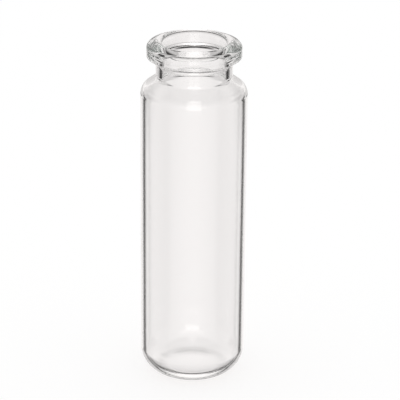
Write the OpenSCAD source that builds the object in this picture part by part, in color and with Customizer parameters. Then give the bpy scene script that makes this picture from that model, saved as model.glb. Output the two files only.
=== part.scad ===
// Glass sample vial with a flat base and a 20 mm crimp finish.
// It is drawn from one length of glass tube: the base is closed and pushed up, the shoulder
// and the neck are rolled in, and the mouth is pressed into a flange for a crimped cap.
// Millimetres, +Z up, origin at the middle of the circle that the vial stands on.

/* [Body] */
// Overall height, from the standing ring to the sealing lip
vial_h = 75.5; // [60:0.5:90]
// Outside diameter of the body
body_d = 22.5; // [20:0.1:26]
// Thickness of the side wall
wall_t = 0.95; // [0.7:0.05:1.3]

/* [Base] */
// Radius of the rounded heel on the outside
heel_r = 5.3; // [4:0.1:6]
// Radius of the rounded heel inside
inner_heel_r = 4.3; // [3:0.1:5.5]
// Thickness of the glass in the base
floor_t = 1.05; // [0.8:0.05:2]
// Width of the flat ring that the vial stands on
ring_w = 0.4; // [0.2:0.1:1.2]
// Radius that leads from the standing ring into the push-up
ring_edge_r = 2.0; // [1:0.1:4]
// Height of the push-up at the middle of the base
push_up_h = 0.2; // [0.1:0.05:0.8]

/* [Shoulder] */
// Slope of the shoulder, in degrees from level
shoulder_slope = 36; // [25:1:45]
// Outside radius between the body and the shoulder
shoulder_r = 2.6; // [1:0.1:3.5]
// Inside radius between the body and the shoulder
inner_shoulder_r = 1.2; // [0.6:0.1:3]
// Thickness of the glass in the shoulder
shoulder_t = 1.2; // [0.9:0.05:1.6]

/* [Neck] */
// Outside diameter of the neck
neck_d = 16.2; // [15.6:0.1:17]
// Inside diameter of the mouth and the neck
bore_d = 13.4; // [12.4:0.1:14]
// Height from the corner where shoulder and neck meet to the underside of the flange
neck_l = 4.1; // [3.4:0.1:8]
// Outside radius between the shoulder and the neck
neck_root_r = 0.5; // [0.3:0.1:2]
// Inside radius between the neck and the shoulder
inner_root_r = 1.7; // [0.8:0.1:3.5]

/* [Flange] */
// Outside diameter of the flange
flange_d = 20.0; // [19.4:0.1:21]
// Height of the flange, underside to sealing lip
flange_h = 3.8; // [3.4:0.1:4.8]
// Diameter of the sealing lip, where the bevel starts
lip_d = 16.2; // [15.5:0.1:17]
// Drop of the bevel from the lip to the flange's edge
bevel_drop = 0.75; // [0.4:0.05:1.3]
// Radius between the bevel and the flange's edge
upper_edge_r = 1.1; // [0.4:0.1:1.4]
// Radius between the flange's edge and its underside
lower_edge_r = 0.25; // [0.1:0.05:0.5]
// Rise of the underside from the neck to the flange's edge
under_rise = 0.5; // [0.2:0.1:0.9]
// Radius of the cove between the neck and the underside of the flange
under_r = 1.7; // [0.4:0.1:2.6]
// Radius of the lip's outer edge
lip_edge_r = 0.25; // [0.1:0.05:0.3]
// Radius of the flame-rounded inner edge of the mouth
mouth_r = 1.0; // [0.4:0.1:1]

/* [Hidden] */
clear_glass = [0.90, 0.93, 0.93, 0.45];
turn_fn = 64;
arc_fn = 36;
dome_fn = 240;
overlap = 0.1;
edge_gap = 0.05;

body_r = body_d / 2;
inner_r = body_r - wall_t;
neck_r = neck_d / 2;
bore_r = bore_d / 2;
flange_r = flange_d / 2;
lip_r = lip_d / 2;

// Corners where the straight stretches would meet without their roundings
under_z = vial_h - flange_h;
neck_corner_z = under_z - neck_l;
body_corner_z = neck_corner_z - (body_r - neck_r) * tan(shoulder_slope);
inner_drop = shoulder_t / cos(shoulder_slope);
inner_neck_z = neck_corner_z + (neck_r - bore_r) * tan(shoulder_slope) - inner_drop;
inner_body_z = body_corner_z + (body_r - inner_r) * tan(shoulder_slope) - inner_drop;

// The cove under the flange ends where the rounding of the flange's edge begins
under_run = norm([flange_r - neck_r, under_rise]);
under_half_angle = 45 + atan2(under_rise, flange_r - neck_r) / 2;
cove_r = min(under_r, under_run * tan(under_half_angle) - lower_edge_r - edge_gap);

// The push-up is a dome that meets the ring's edge radius without a step:
// its centre lies on the axis, and both radii share one normal where they touch
ring_x = body_r - heel_r - ring_w;
dome_depth = (ring_x * ring_x - push_up_h * push_up_h) / (2 * push_up_h) - ring_edge_r;
dome_r = dome_depth + push_up_h;
dome_centre = [0, -dome_depth];
ring_touch = dome_centre + unit([ring_x, ring_edge_r] - dome_centre) * dome_r;

// The floor inside follows the same dome, and meets the inner heel in the same way
floor_dome_r = dome_r + floor_t;
inner_heel_x = inner_r - inner_heel_r;
inner_heel_z = sqrt(pow(floor_dome_r + inner_heel_r, 2) - inner_heel_x * inner_heel_x) - dome_depth;
inner_heel_centre = [inner_heel_x, inner_heel_z];
floor_touch = dome_centre + unit(inner_heel_centre - dome_centre) * floor_dome_r;

// Closed outline of the glass, up the outside and down the inside, as far as the inner heel:
// radius, height and rounding of each corner
outline = [
    [0, 0, 0],
    [body_r, 0, heel_r],
    [body_r, body_corner_z, shoulder_r],
    [neck_r, neck_corner_z, neck_root_r],
    [neck_r, under_z, cove_r],
    [flange_r, under_z + under_rise, lower_edge_r],
    [flange_r, vial_h - bevel_drop, upper_edge_r],
    [lip_r, vial_h, lip_edge_r],
    [bore_r, vial_h, mouth_r],
    [bore_r, inner_neck_z, inner_root_r],
    [inner_r, inner_body_z, inner_shoulder_r],
    [inner_r, inner_heel_z, 0],
    [0, inner_heel_z, 0],
];

function flat(p) = [p[0], p[1]];
function unit(v) = v / norm(v);
function cross_z(u, v) = u[0] * v[1] - u[1] * v[0];
function point(i) = outline[(i + len(outline)) % len(outline)];
function to_last(i) = unit(flat(point(i - 1)) - flat(point(i)));
function to_next(i) = unit(flat(point(i + 1)) - flat(point(i)));
function half_angle(i) = acos(to_last(i) * to_next(i)) / 2;
function is_rounded(i) = point(i)[2] > 0;
function is_hollow(i) = is_rounded(i) && cross_z(to_last(i), to_next(i)) > 0;
function is_proud(i) = is_rounded(i) && cross_z(to_last(i), to_next(i)) < 0;
function centre(i) = flat(point(i)) + unit(to_last(i) + to_next(i)) * point(i)[2] / sin(half_angle(i));
function first_touch(i) = flat(point(i)) + to_last(i) * point(i)[2] / tan(half_angle(i));
function last_touch(i) = flat(point(i)) + to_next(i) * point(i)[2] / tan(half_angle(i));

// A hollow corner is filled as far as the centre of its rounding, which then cuts it back
function filled(i) = is_hollow(i) ? [first_touch(i), centre(i), last_touch(i)] : [flat(point(i))];

module rounding_circle(i) {
    translate(centre(i)) circle(r = point(i)[2], $fn = arc_fn);
}

// What lies between a proud corner and its rounding, drawn a little past both straight sides
module corner_sliver(i) {
    first = first_touch(i);
    last = last_touch(i);
    difference() {
        polygon([
            first,
            first + unit(first - centre(i)) * overlap,
            flat(point(i)) + unit(flat(point(i)) - centre(i)) * overlap * 2,
            last + unit(last - centre(i)) * overlap,
            last,
        ]);
        rounding_circle(i);
    }
}

// Hollow under the base: a dome, and the edge that leads from it to the standing ring
module push_up_section() {
    translate(dome_centre) circle(r = dome_r, $fn = dome_fn);
    difference() {
        polygon([[0, -overlap], [ring_x, -overlap], [ring_x, 0], ring_touch]);
        translate([ring_x, ring_edge_r]) circle(r = ring_edge_r, $fn = arc_fn);
    }
}

// Space over the floor: the inner heel's circle, and what the domed floor leaves inside it
module over_floor_section() {
    translate(inner_heel_centre) circle(r = inner_heel_r, $fn = arc_fn);
    difference() {
        polygon([[0, 0], floor_touch, inner_heel_centre + [0, overlap], [0, inner_heel_centre[1] + overlap]]);
        translate(dome_centre) circle(r = floor_dome_r, $fn = dome_fn);
    }
}

// Half section of the glass, as it is turned about the axis
module glass_section() {
    corners = [0 : len(outline) - 1];
    difference() {
        polygon([for (i = corners) each filled(i)]);
        for (i = corners) if (is_hollow(i)) rounding_circle(i);
        for (i = corners) if (is_proud(i)) corner_sliver(i);
        push_up_section();
        over_floor_section();
    }
}

module vial() {
    color(clear_glass) rotate_extrude($fn = turn_fn) glass_section();
}

vial();
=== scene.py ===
import math

import bpy
import numpy as np
from mathutils import Matrix, Vector


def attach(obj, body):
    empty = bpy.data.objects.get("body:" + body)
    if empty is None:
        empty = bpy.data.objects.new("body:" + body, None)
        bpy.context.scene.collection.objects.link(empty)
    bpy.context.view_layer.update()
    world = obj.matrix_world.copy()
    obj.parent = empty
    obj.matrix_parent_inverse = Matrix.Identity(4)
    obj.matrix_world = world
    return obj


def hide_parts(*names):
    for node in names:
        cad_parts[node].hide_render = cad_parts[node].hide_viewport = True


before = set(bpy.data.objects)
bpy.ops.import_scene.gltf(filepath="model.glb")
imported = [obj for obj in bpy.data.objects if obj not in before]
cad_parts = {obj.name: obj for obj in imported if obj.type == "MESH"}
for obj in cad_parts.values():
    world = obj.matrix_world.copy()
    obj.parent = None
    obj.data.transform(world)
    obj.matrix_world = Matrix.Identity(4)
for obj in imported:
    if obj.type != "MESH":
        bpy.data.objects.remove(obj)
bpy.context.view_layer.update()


# ---------------------------------------------------------------------------------------------
# Vial: one piece of clear borosilicate tube, 22.5 mm across. The base is melted shut and pushed
# up a little, the shoulder and the neck are rolled in over a flame, and the mouth is pressed
# into a bevelled flange for a 20 mm crimped cap. Sizes in millimetres, on the vial's own axis.
# ---------------------------------------------------------------------------------------------
VIAL_H = 75.5
BODY_D = 22.5
WALL_T = 0.95

HEEL_R = 5.3
INNER_HEEL_R = 4.3
FLOOR_T = 1.05
RING_W = 0.4
RING_EDGE_R = 2
PUSH_UP_H = 0.2

SHOULDER_SLOPE = 36
SHOULDER_R = 2.6
INNER_SHOULDER_R = 1.2
SHOULDER_T = 1.2

NECK_D = 16.2
BORE_D = 13.4
NECK_L = 4.1
NECK_ROOT_R = 0.5
INNER_ROOT_R = 1.7

FLANGE_D = 20
FLANGE_H = 3.8
LIP_D = 16.2
BEVEL_DROP = 0.75
UPPER_EDGE_R = 1.1
LOWER_EDGE_R = 0.25
UNDER_RISE = 0.5
UNDER_R = 1.7
LIP_EDGE_R = 0.25
MOUTH_R = 1

# How fine the surface is: sides round the vial, degrees from point to point on a round and on the
# wide arcs of the base, and the longest and shortest stretch between two points. The gap is the
# least straight stretch between the cove under the flange and the flange's lower edge.
TURN_SIDES = 288
FINE_STEP = 4.0
DOME_STEP = 0.6
LONGEST_STRETCH = 1.8
SHORTEST_STRETCH = 0.002
EDGE_GAP = 0.05

# Unevenness of flame-worked glass: at the heel, where the base was melted shut, at the neck, from
# the rollers, and hardly any along the drawn tube. Each row has the middle height, how far it
# reaches, its depth, the number of waves round the vial and their lengths along it, as ranges.
# There are none nearer to the axis than the first of the two clear radii.
WAVE_COUNT = 8
AXIS_CLEAR = (5.0, 7.0)
WAVES = [
    (0.4, 0.5, 0.1, (60, 90), (2.0, 6.0)),
    (68.5, 3.0, 0.06, (1, 4), (2.4, 5.0)),
    (38.0, 30.0, 0.01, (1, 7), (14.0, 60.0)),
]
MM = 0.001


def unit(vector):
    """The same direction with a length of 1: the vector over its length."""
    return vector / np.linalg.norm(vector)


def arc(centre, radius, first, last, step):
    """Points on a circle between two directions: centre + radius * (cos, sin) of each angle."""
    count = max(2, int(abs(last - first) / step) + 2)
    angle = np.radians(np.linspace(first, last, count))
    across, up = radius * np.cos(angle), radius * np.sin(angle)
    return np.column_stack([centre[0] + across, centre[1] + up])


def bearing(centre, point):
    """Direction of a point as seen from a centre, in degrees."""
    return math.degrees(math.atan2(point[1] - centre[1], point[0] - centre[0]))


def corner(before, at, after, radius):
    """Rounding of the corner at a point: the circle of that radius that touches both straight
    sides, with its centre on the corner's bisector at radius / sin(half the corner's angle)."""
    before, at, after = (np.array(point, float) for point in (before, at, after))
    back, onward = unit(before - at), unit(after - at)
    half = math.acos(back @ onward) / 2
    centre = at + unit(back + onward) * radius / math.sin(half)
    start = bearing(centre, at + back * radius / math.tan(half))
    stop = bearing(centre, at + onward * radius / math.tan(half))
    return arc(centre, radius, start, start + (stop - start + 180) % 360 - 180, FINE_STEP)


def vial_profile():
    """Half section of the glass as one line: from the axis under the base, up the outside, over
    the lip, down the inside and along the floor to the axis. Its corners are those of the straight
    sides, each rounded by its own radius, and base and floor are arcs about one centre."""
    body_r, neck_r, bore_r = BODY_D / 2, NECK_D / 2, BORE_D / 2
    flange_r, lip_r, inner_r = FLANGE_D / 2, LIP_D / 2, BODY_D / 2 - WALL_T
    under_z = VIAL_H - FLANGE_H
    neck_z = under_z - NECK_L
    slope = math.radians(SHOULDER_SLOPE)
    body_z = neck_z - (body_r - neck_r) * math.tan(slope)
    inner_drop = SHOULDER_T / math.cos(slope)
    inner_neck_z = neck_z + (neck_r - bore_r) * math.tan(slope) - inner_drop
    inner_body_z = body_z + WALL_T * math.tan(slope) - inner_drop

    under_run = math.hypot(flange_r - neck_r, UNDER_RISE)
    under_half = (math.pi / 2 + math.atan2(UNDER_RISE, flange_r - neck_r)) / 2
    cove_r = min(UNDER_R, under_run * math.tan(under_half) - LOWER_EDGE_R - EDGE_GAP)

    ring_x = body_r - HEEL_R - RING_W
    dome_depth = (ring_x ** 2 - PUSH_UP_H ** 2) / (2 * PUSH_UP_H) - RING_EDGE_R
    dome_r = dome_depth + PUSH_UP_H
    dome_centre = np.array([0.0, -dome_depth])
    edge_centre = np.array([ring_x, RING_EDGE_R])
    heel_centre = np.array([body_r - HEEL_R, HEEL_R])
    floor_r = dome_r + FLOOR_T
    inner_x = inner_r - INNER_HEEL_R
    inner_z = math.sqrt((floor_r + INNER_HEEL_R) ** 2 - inner_x ** 2) - dome_depth
    inner_centre = np.array([inner_x, inner_z])
    edge_bearing = bearing(dome_centre, edge_centre)
    floor_bearing = bearing(dome_centre, inner_centre)

    # The ends of the straight sides, up the outside and down the inside, and the radius of each
    # corner between two of them.
    sides = [
        (body_r, HEEL_R), (body_r, body_z), (neck_r, neck_z), (neck_r, under_z),
        (flange_r, under_z + UNDER_RISE), (flange_r, VIAL_H - BEVEL_DROP), (lip_r, VIAL_H),
        (bore_r, VIAL_H), (bore_r, inner_neck_z), (inner_r, inner_body_z), (inner_r, inner_z),
    ]
    radii = [
        SHOULDER_R, NECK_ROOT_R, cove_r, LOWER_EDGE_R, UPPER_EDGE_R, LIP_EDGE_R,
        MOUTH_R, INNER_ROOT_R, INNER_SHOULDER_R,
    ]
    line = np.vstack([
        arc(dome_centre, dome_r, 90, edge_bearing, DOME_STEP),
        arc(edge_centre, RING_EDGE_R, edge_bearing - 180, -90, FINE_STEP),
        arc(heel_centre, HEEL_R, -90, 0, FINE_STEP),
        *(corner(*rounding) for rounding in zip(sides, sides[1:], sides[2:], radii)),
        arc(inner_centre, INNER_HEEL_R, 0, floor_bearing - 180, FINE_STEP),
        arc(dome_centre, floor_r, floor_bearing, 90, DOME_STEP),
    ])
    length = np.concatenate([[0], np.cumsum(np.linalg.norm(np.diff(line, axis=0), axis=1))])
    kept = np.concatenate([[True], np.diff(length) > SHORTEST_STRETCH])
    line, length = line[kept], length[kept]
    pieces = np.concatenate([[0], np.cumsum(np.ceil(np.diff(length) / LONGEST_STRETCH))])
    where = np.interp(np.arange(pieces[-1] + 1), pieces, length)
    line = np.column_stack([np.interp(where, length, values) for values in line.T])
    line[[0, -1], 0] = 0
    return line


def ripple(seed, angle, height, turns, lengths):
    """Waves in the glass, from -1 to 1: the mean of cosines, each with a whole number of waves
    round the vial, a wavelength along it in millimetres and a phase."""
    dice = np.random.default_rng(seed)
    round_it = dice.integers(turns[0], turns[1] + 1, WAVE_COUNT)
    wavelength = dice.uniform(lengths[0], lengths[1], WAVE_COUNT)
    along_it = 2 * math.pi / wavelength * dice.choice([-1, 1], WAVE_COUNT)
    phase = dice.uniform(0, 2 * math.pi, WAVE_COUNT)
    waves = np.cos(angle[:, None] * round_it + height[..., None] * along_it + phase)
    return waves.mean(axis=-1)


def band(height, middle, reach):
    """Share of a wave at a height: 1 at the middle, falling as exp(-(distance / reach)^2)."""
    return np.exp(-((height - middle) / reach) ** 2)


def waved(profile):
    """Rings of points (r, z) round the vial, each moved into the glass along the profile's own
    normal by the sum of depth * band * (1 + ripple) / 2. The inside has ripples of its own, and
    all of them fade out towards the axis, so that the base and the floor stay smooth."""
    ring = profile[1:-1, None, :]
    along = np.gradient(profile, axis=0)[1:-1]
    outward = np.column_stack([along[:, 1], -along[:, 0]])
    normal = (outward / np.linalg.norm(along, axis=1)[:, None])[:, None, :]
    angle = np.arange(TURN_SIDES) * 2 * math.pi / TURN_SIDES
    height = ring[..., 1] + 0 * angle
    inside = np.arange(len(ring))[:, None] > np.argmax(profile[1:-1, 1])
    depth = 0
    for seed, (middle, reach, deep, turns, lengths) in enumerate(WAVES):
        outer_waves = ripple(2 * seed, angle, height, turns, lengths)
        inner_waves = ripple(2 * seed + 1, angle, height, turns, lengths)
        waves = np.where(inside, inner_waves, outer_waves)
        depth = depth + deep * band(height, middle, reach) * (1 + waves) / 2
    none_to, full_from = AXIS_CLEAR
    clear_of_axis = np.clip((ring[..., 0] - none_to) / (full_from - none_to), 0, 1)
    return ring - normal * (depth * clear_of_axis)[..., None], angle


def turned(name, profile):
    """Surface of revolution: each point (r, z) of the profile becomes a ring of points
    (r cos a, r sin a, z). Its two ends lie on the axis: each is one point, closed by triangles."""
    ring, angle = waved(profile)
    ring = ring * MM
    radius, height = ring[..., 0], ring[..., 1]
    around = np.stack([radius * np.cos(angle), radius * np.sin(angle), height], axis=-1)
    ends = [[0, 0, profile[0, 1] * MM], [0, 0, profile[-1, 1] * MM]]
    points = np.vstack([around.reshape(-1, 3), ends])
    side = np.arange(TURN_SIDES)
    beside = (side + 1) % TURN_SIDES
    low = np.arange(len(ring) - 1)[:, None] * TURN_SIDES
    high = low + TURN_SIDES
    quads = np.stack([low + side, low + beside, high + beside, high + side], axis=-1)
    first_end, last_end = len(points) - 2, len(points) - 1
    last_ring = (len(ring) - 1) * TURN_SIDES
    under = np.column_stack([np.full(TURN_SIDES, first_end), beside, side])
    over = np.column_stack([np.full(TURN_SIDES, last_end), last_ring + side, last_ring + beside])
    faces = quads.reshape(-1, 4).tolist() + under.tolist() + over.tolist()
    mesh = bpy.data.meshes.new(name)
    mesh.from_pydata(points.tolist(), [], faces)
    mesh.polygons.foreach_set("use_smooth", np.ones(len(mesh.polygons), bool))
    mesh.update()
    piece = bpy.data.objects.new(name, mesh)
    bpy.context.collection.objects.link(piece)
    return piece


def linear(hex_colour):
    """sRGB hex to linear: v / 12.92 below 0.04045, and ((v + 0.055) / 1.055) ** 2.4 above."""
    values = [int(hex_colour[i:i + 2], 16) / 255 for i in (1, 3, 5)]
    return [v / 12.92 if v <= 0.04045 else ((v + 0.055) / 1.055) ** 2.4 for v in values] + [1.0]


def new_material(name):
    """Material with an empty node tree."""
    material = bpy.data.materials.new(name)
    material.use_nodes = True
    material.node_tree.nodes.clear()
    return material


def add(tree, kind, inputs=None, **settings):
    """Adds a node, sets its settings, and sets or links its inputs."""
    node = tree.nodes.new(kind)
    for key, value in settings.items():
        setattr(node, key, value)
    for key, value in (inputs or {}).items():
        if isinstance(value, bpy.types.NodeSocket):
            tree.links.new(value, node.inputs[key])
        else:
            node.inputs[key].default_value = value
    return node


GLASS_IOR = 1.48
GLASS_TINT = "#9AA8A2"
GLASS_DENSITY = 6.0


def borosilicate_glass():
    """Clear borosilicate glass, drawn as tube and flame-formed: a fire polish without any haze,
    so the eye sees only what its curves bend and mirror. It takes a trace of grey-green out of
    the light, which shows only in the rim, where light goes a long way round inside the glass."""
    material = new_material("borosilicate_glass")
    tree = material.node_tree
    glass = add(tree, "ShaderNodeBsdfPrincipled", {
        "Base Color": linear("#FFFFFF"),
        "Roughness": 0.0,
        "IOR": GLASS_IOR,
        "Transmission Weight": 1.0,
    })
    tint = add(tree, "ShaderNodeVolumeAbsorption", {
        "Color": linear(GLASS_TINT),
        "Density": GLASS_DENSITY,
    })
    add(tree, "ShaderNodeOutputMaterial", {
        "Surface": glass.outputs[0],
        "Volume": tint.outputs[0],
    })
    return material


vial = turned("vial_glass", vial_profile())
vial.data.materials.append(borosilicate_glass())
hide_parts("vial")
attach(vial, "root")


# ---------------------------------------------------------------------------------------------
# Camera: a long lens 0.43 m from the vial, which looks down on it at 23 degrees (0.40 radians)
# and leans half a degree. The centre is the pixel where the point it aims at falls.
# ---------------------------------------------------------------------------------------------
IMAGE_SIDE = 400
FOCAL_PX = 1999.6
CENTRE_X_PX = 193.243
CENTRE_Y_PX = 207.173
SENSOR_MM = 36
CLIP_START = 0.01
CAMERA_DISTANCE = 0.4293
CAMERA_ELEVATION = 0.40
CAMERA_ROLL = 0.009
AIM_Z = 0.038


def long_lens_camera():
    """Camera on a circle about the vial's axis, turned so that the aim falls on its pixel."""
    lens = bpy.data.cameras.new("camera")
    lens.sensor_width = SENSOR_MM
    lens.lens = FOCAL_PX * SENSOR_MM / IMAGE_SIDE
    lens.clip_start = CLIP_START
    down = math.atan2(CENTRE_Y_PX - IMAGE_SIDE / 2, FOCAL_PX)
    aside = math.atan2(CENTRE_X_PX - IMAGE_SIDE / 2, FOCAL_PX / math.cos(down))
    pitch = CAMERA_ELEVATION - down
    yaw = -aside / math.cos(pitch)
    level = math.cos(pitch)
    forward = Vector((math.sin(yaw) * level, math.cos(yaw) * level, -math.sin(pitch)))
    right = Vector((math.cos(yaw), -math.sin(yaw), 0))
    up = right.cross(forward)
    rolled_right = right * math.cos(CAMERA_ROLL) + up * math.sin(CAMERA_ROLL)
    rolled_up = up * math.cos(CAMERA_ROLL) - right * math.sin(CAMERA_ROLL)
    place = Matrix((rolled_right, rolled_up, -forward)).transposed().to_4x4()
    back = CAMERA_DISTANCE * math.cos(CAMERA_ELEVATION)
    above = CAMERA_DISTANCE * math.sin(CAMERA_ELEVATION)
    place.translation = Vector((0, -back, AIM_Z + above))
    camera = bpy.data.objects.new("camera", lens)
    bpy.context.collection.objects.link(camera)
    camera.matrix_world = place
    bpy.context.view_layer.update()
    return camera


camera = long_lens_camera()
bpy.context.scene.camera = camera


# ---------------------------------------------------------------------------------------------
# Bench: one sheet of matt white board that the vial stands on, laid flat, and wide enough to
# fill the picture from every side.
# ---------------------------------------------------------------------------------------------
BENCH_SIDE = 8.0
BENCH_LINES = 5


def white_board():
    """Matt white board, plain and pale: it shows only the soft shadow of what stands on it. Glass
    looks past it at the lit cards below, which are as white as the board."""
    material = new_material("white_board")
    tree = material.node_tree
    path = add(tree, "ShaderNodeLightPath")
    through_glass = add(tree, "ShaderNodeMath", {
        0: path.outputs["Is Glossy Ray"],
        1: path.outputs["Is Transmission Ray"],
    }, operation="MAXIMUM")
    board = add(tree, "ShaderNodeBsdfDiffuse", {"Color": linear("#FFFFFF")})
    clear = add(tree, "ShaderNodeBsdfTransparent")
    both = add(tree, "ShaderNodeMixShader", {
        0: through_glass.outputs[0], 1: board.outputs[0], 2: clear.outputs[0],
    })
    add(tree, "ShaderNodeOutputMaterial", {"Surface": both.outputs[0]})
    return material


def sheet(name, points):
    """Grid of points (rows, columns, xyz) as a mesh of quads between neighbours."""
    rows, columns = points.shape[:2]
    first = np.arange(rows - 1)[:, None] * columns + np.arange(columns - 1)
    quads = np.stack([first, first + 1, first + columns + 1, first + columns], axis=-1)
    mesh = bpy.data.meshes.new(name)
    mesh.from_pydata(points.reshape(-1, 3).tolist(), [], quads.reshape(-1, 4).tolist())
    mesh.update()
    piece = bpy.data.objects.new(name, mesh)
    bpy.context.collection.objects.link(piece)
    return piece


lines = np.linspace(-BENCH_SIDE / 2, BENCH_SIDE / 2, BENCH_LINES)
bench = sheet("bench", np.stack(np.broadcast_arrays(lines[:, None], lines, 0.0), axis=-1))
bench.data.materials.append(white_board())


# ---------------------------------------------------------------------------------------------
# Studio: bright-field light, so that clear glass shows on white. A round tent of grey cloth holds
# white cards behind, under and in front of the vial, black flags that draw the glass's edges, and
# two softboxes for the highlights. It keeps its place round the camera, as if the vial turned.
# ---------------------------------------------------------------------------------------------
TENT_RADIUS = 2.0
TENT_TONE = "#FFFCFB"
ROOM_TONE = 0.71
SHADE_SHARE = 0.2
TENT_STEP = 1.5
# Each card or flag has the directions it covers, in degrees: azimuth from and to (0 is straight
# behind the vial, 180 at the camera, the same on both sides), elevation from and to, and the width
# of its soft edge. The last number is its brightness, where 1 is white. Later ones hang in front.
CARDS = [
    (172, 181, -36, 91, 72, 1.2),
    (0, 26, -31, 45, 5, 0.88),
    (9, 26, -32, -14, 6, 0.94),
    (0, 59, -91, -60, 3, 1.1),
    (0, 40, -50, -45, 1, 0.0),
    (56, 110, -69, -28, 9, 0.0),
    (52, 120, -31, -15, 6, 0.6),
    (55, 73, -13, 14, 4, 0.0),
    (0, 35, 4, 49, 8, 0.99),
    (0, 154, 60, 79, 18, 0.0),
    (0, 5, 1, 13, 2, 0.0),
    (0, 10, 40, 46, 16, 0.06),
    (32, 41, -44, 10, 5, 0.1),
    (8, 37, -13, 6, 6, 0.69),
    (40, 66, -18, -2, 3, 0.0),
    (36, 46, -31, -21, 1, 0.1),
    (154, 181, 16, 28, 8, 1.7),
    (167, 181, -13, 14, 6, 2.8),
]


def soft_step(value, start, stop):
    """Rises from 0 at start to 1 at stop as 3t^2 - 2t^3."""
    t = np.clip((value - start) / (stop - start), 0, 1)
    return t * t * (3 - 2 * t)


def soft_band(value, start, stop, edge):
    """1 from start to stop, and down to 0 by a soft step over an edge's width on each side."""
    return soft_step(value, start - edge, start) * (1 - soft_step(value, stop, stop + edge))


def tent_brightness(azimuth, elevation):
    """Brightness of the tent: each card in turn is laid over what is there, with a soft edge."""
    tone = np.full(np.broadcast_shapes(azimuth.shape, elevation.shape), ROOM_TONE)
    for first, last, low, high, edge, brightness in CARDS:
        across = soft_band(azimuth, first, last, edge)
        upward = soft_band(elevation, low, high, edge)
        tone = tone + (brightness - tone) * across * upward
    return tone


def tent_cloth():
    """Lit cloth and card, a little warm. Glass shows it at the tent's own brightness. The board
    gets nearly white light through the glass, so that the vial's shadow is soft and faint."""
    material = new_material("lit_tent")
    tree = material.node_tree
    path = add(tree, "ShaderNodeLightPath")
    tone = add(tree, "ShaderNodeAttribute", attribute_name="brightness")
    on_board = add(tree, "ShaderNodeMath", {0: path.outputs["Diffuse Depth"], 1: 1 - SHADE_SHARE},
                   operation="MULTIPLY", use_clamp=True)
    strength = add(tree, "ShaderNodeMix", {
        "Factor": on_board.outputs[0], "A": tone.outputs["Fac"], "B": 1.0,
    }, data_type="FLOAT")
    light = add(tree, "ShaderNodeEmission", {
        "Color": linear(TENT_TONE),
        "Strength": strength.outputs[0],
    })
    add(tree, "ShaderNodeOutputMaterial", {"Surface": light.outputs[0]})
    material.cycles.emission_sampling = "NONE"
    return material


azimuth = np.arange(-180, 180 + TENT_STEP, TENT_STEP)[:, None]
elevation = np.arange(-90, 90 + TENT_STEP, TENT_STEP)[None, :]
turn, rise = np.radians(azimuth), np.radians(elevation)
tent = sheet("tent", np.stack(np.broadcast_arrays(
    TENT_RADIUS * np.sin(turn) * np.cos(rise),
    TENT_RADIUS * np.cos(turn) * np.cos(rise),
    TENT_RADIUS * np.sin(rise) + AIM_Z,
), axis=-1))
tent.data.attributes.new("brightness", "FLOAT", "POINT").data.foreach_set(
    "value", tent_brightness(np.abs(azimuth), elevation).ravel())
tent.data.materials.append(tent_cloth())
tent.visible_camera = tent.visible_diffuse = tent.visible_shadow = False
tent.parent = camera
tent.matrix_parent_inverse = camera.matrix_world.inverted()


def studio_world():
    """White, for the camera and for the light on the board."""
    world = bpy.data.worlds.new("studio")
    world.use_nodes = True
    tree = world.node_tree
    tree.nodes.clear()
    light = add(tree, "ShaderNodeBackground", {"Color": linear("#FFFFFF"), "Strength": 1.0})
    add(tree, "ShaderNodeOutputWorld", {"Surface": light.outputs[0]})
    return world


# Light goes round inside the thick rim many times before it comes out.
GLASS_BOUNCES = 160

scene = bpy.context.scene
scene.world = studio_world()
scene.view_settings.view_transform = "Standard"
scene.cycles.max_bounces = GLASS_BOUNCES
scene.cycles.transmission_bounces = GLASS_BOUNCES
scene.cycles.glossy_bounces = GLASS_BOUNCES
scene.cycles.blur_glossy = 0.0
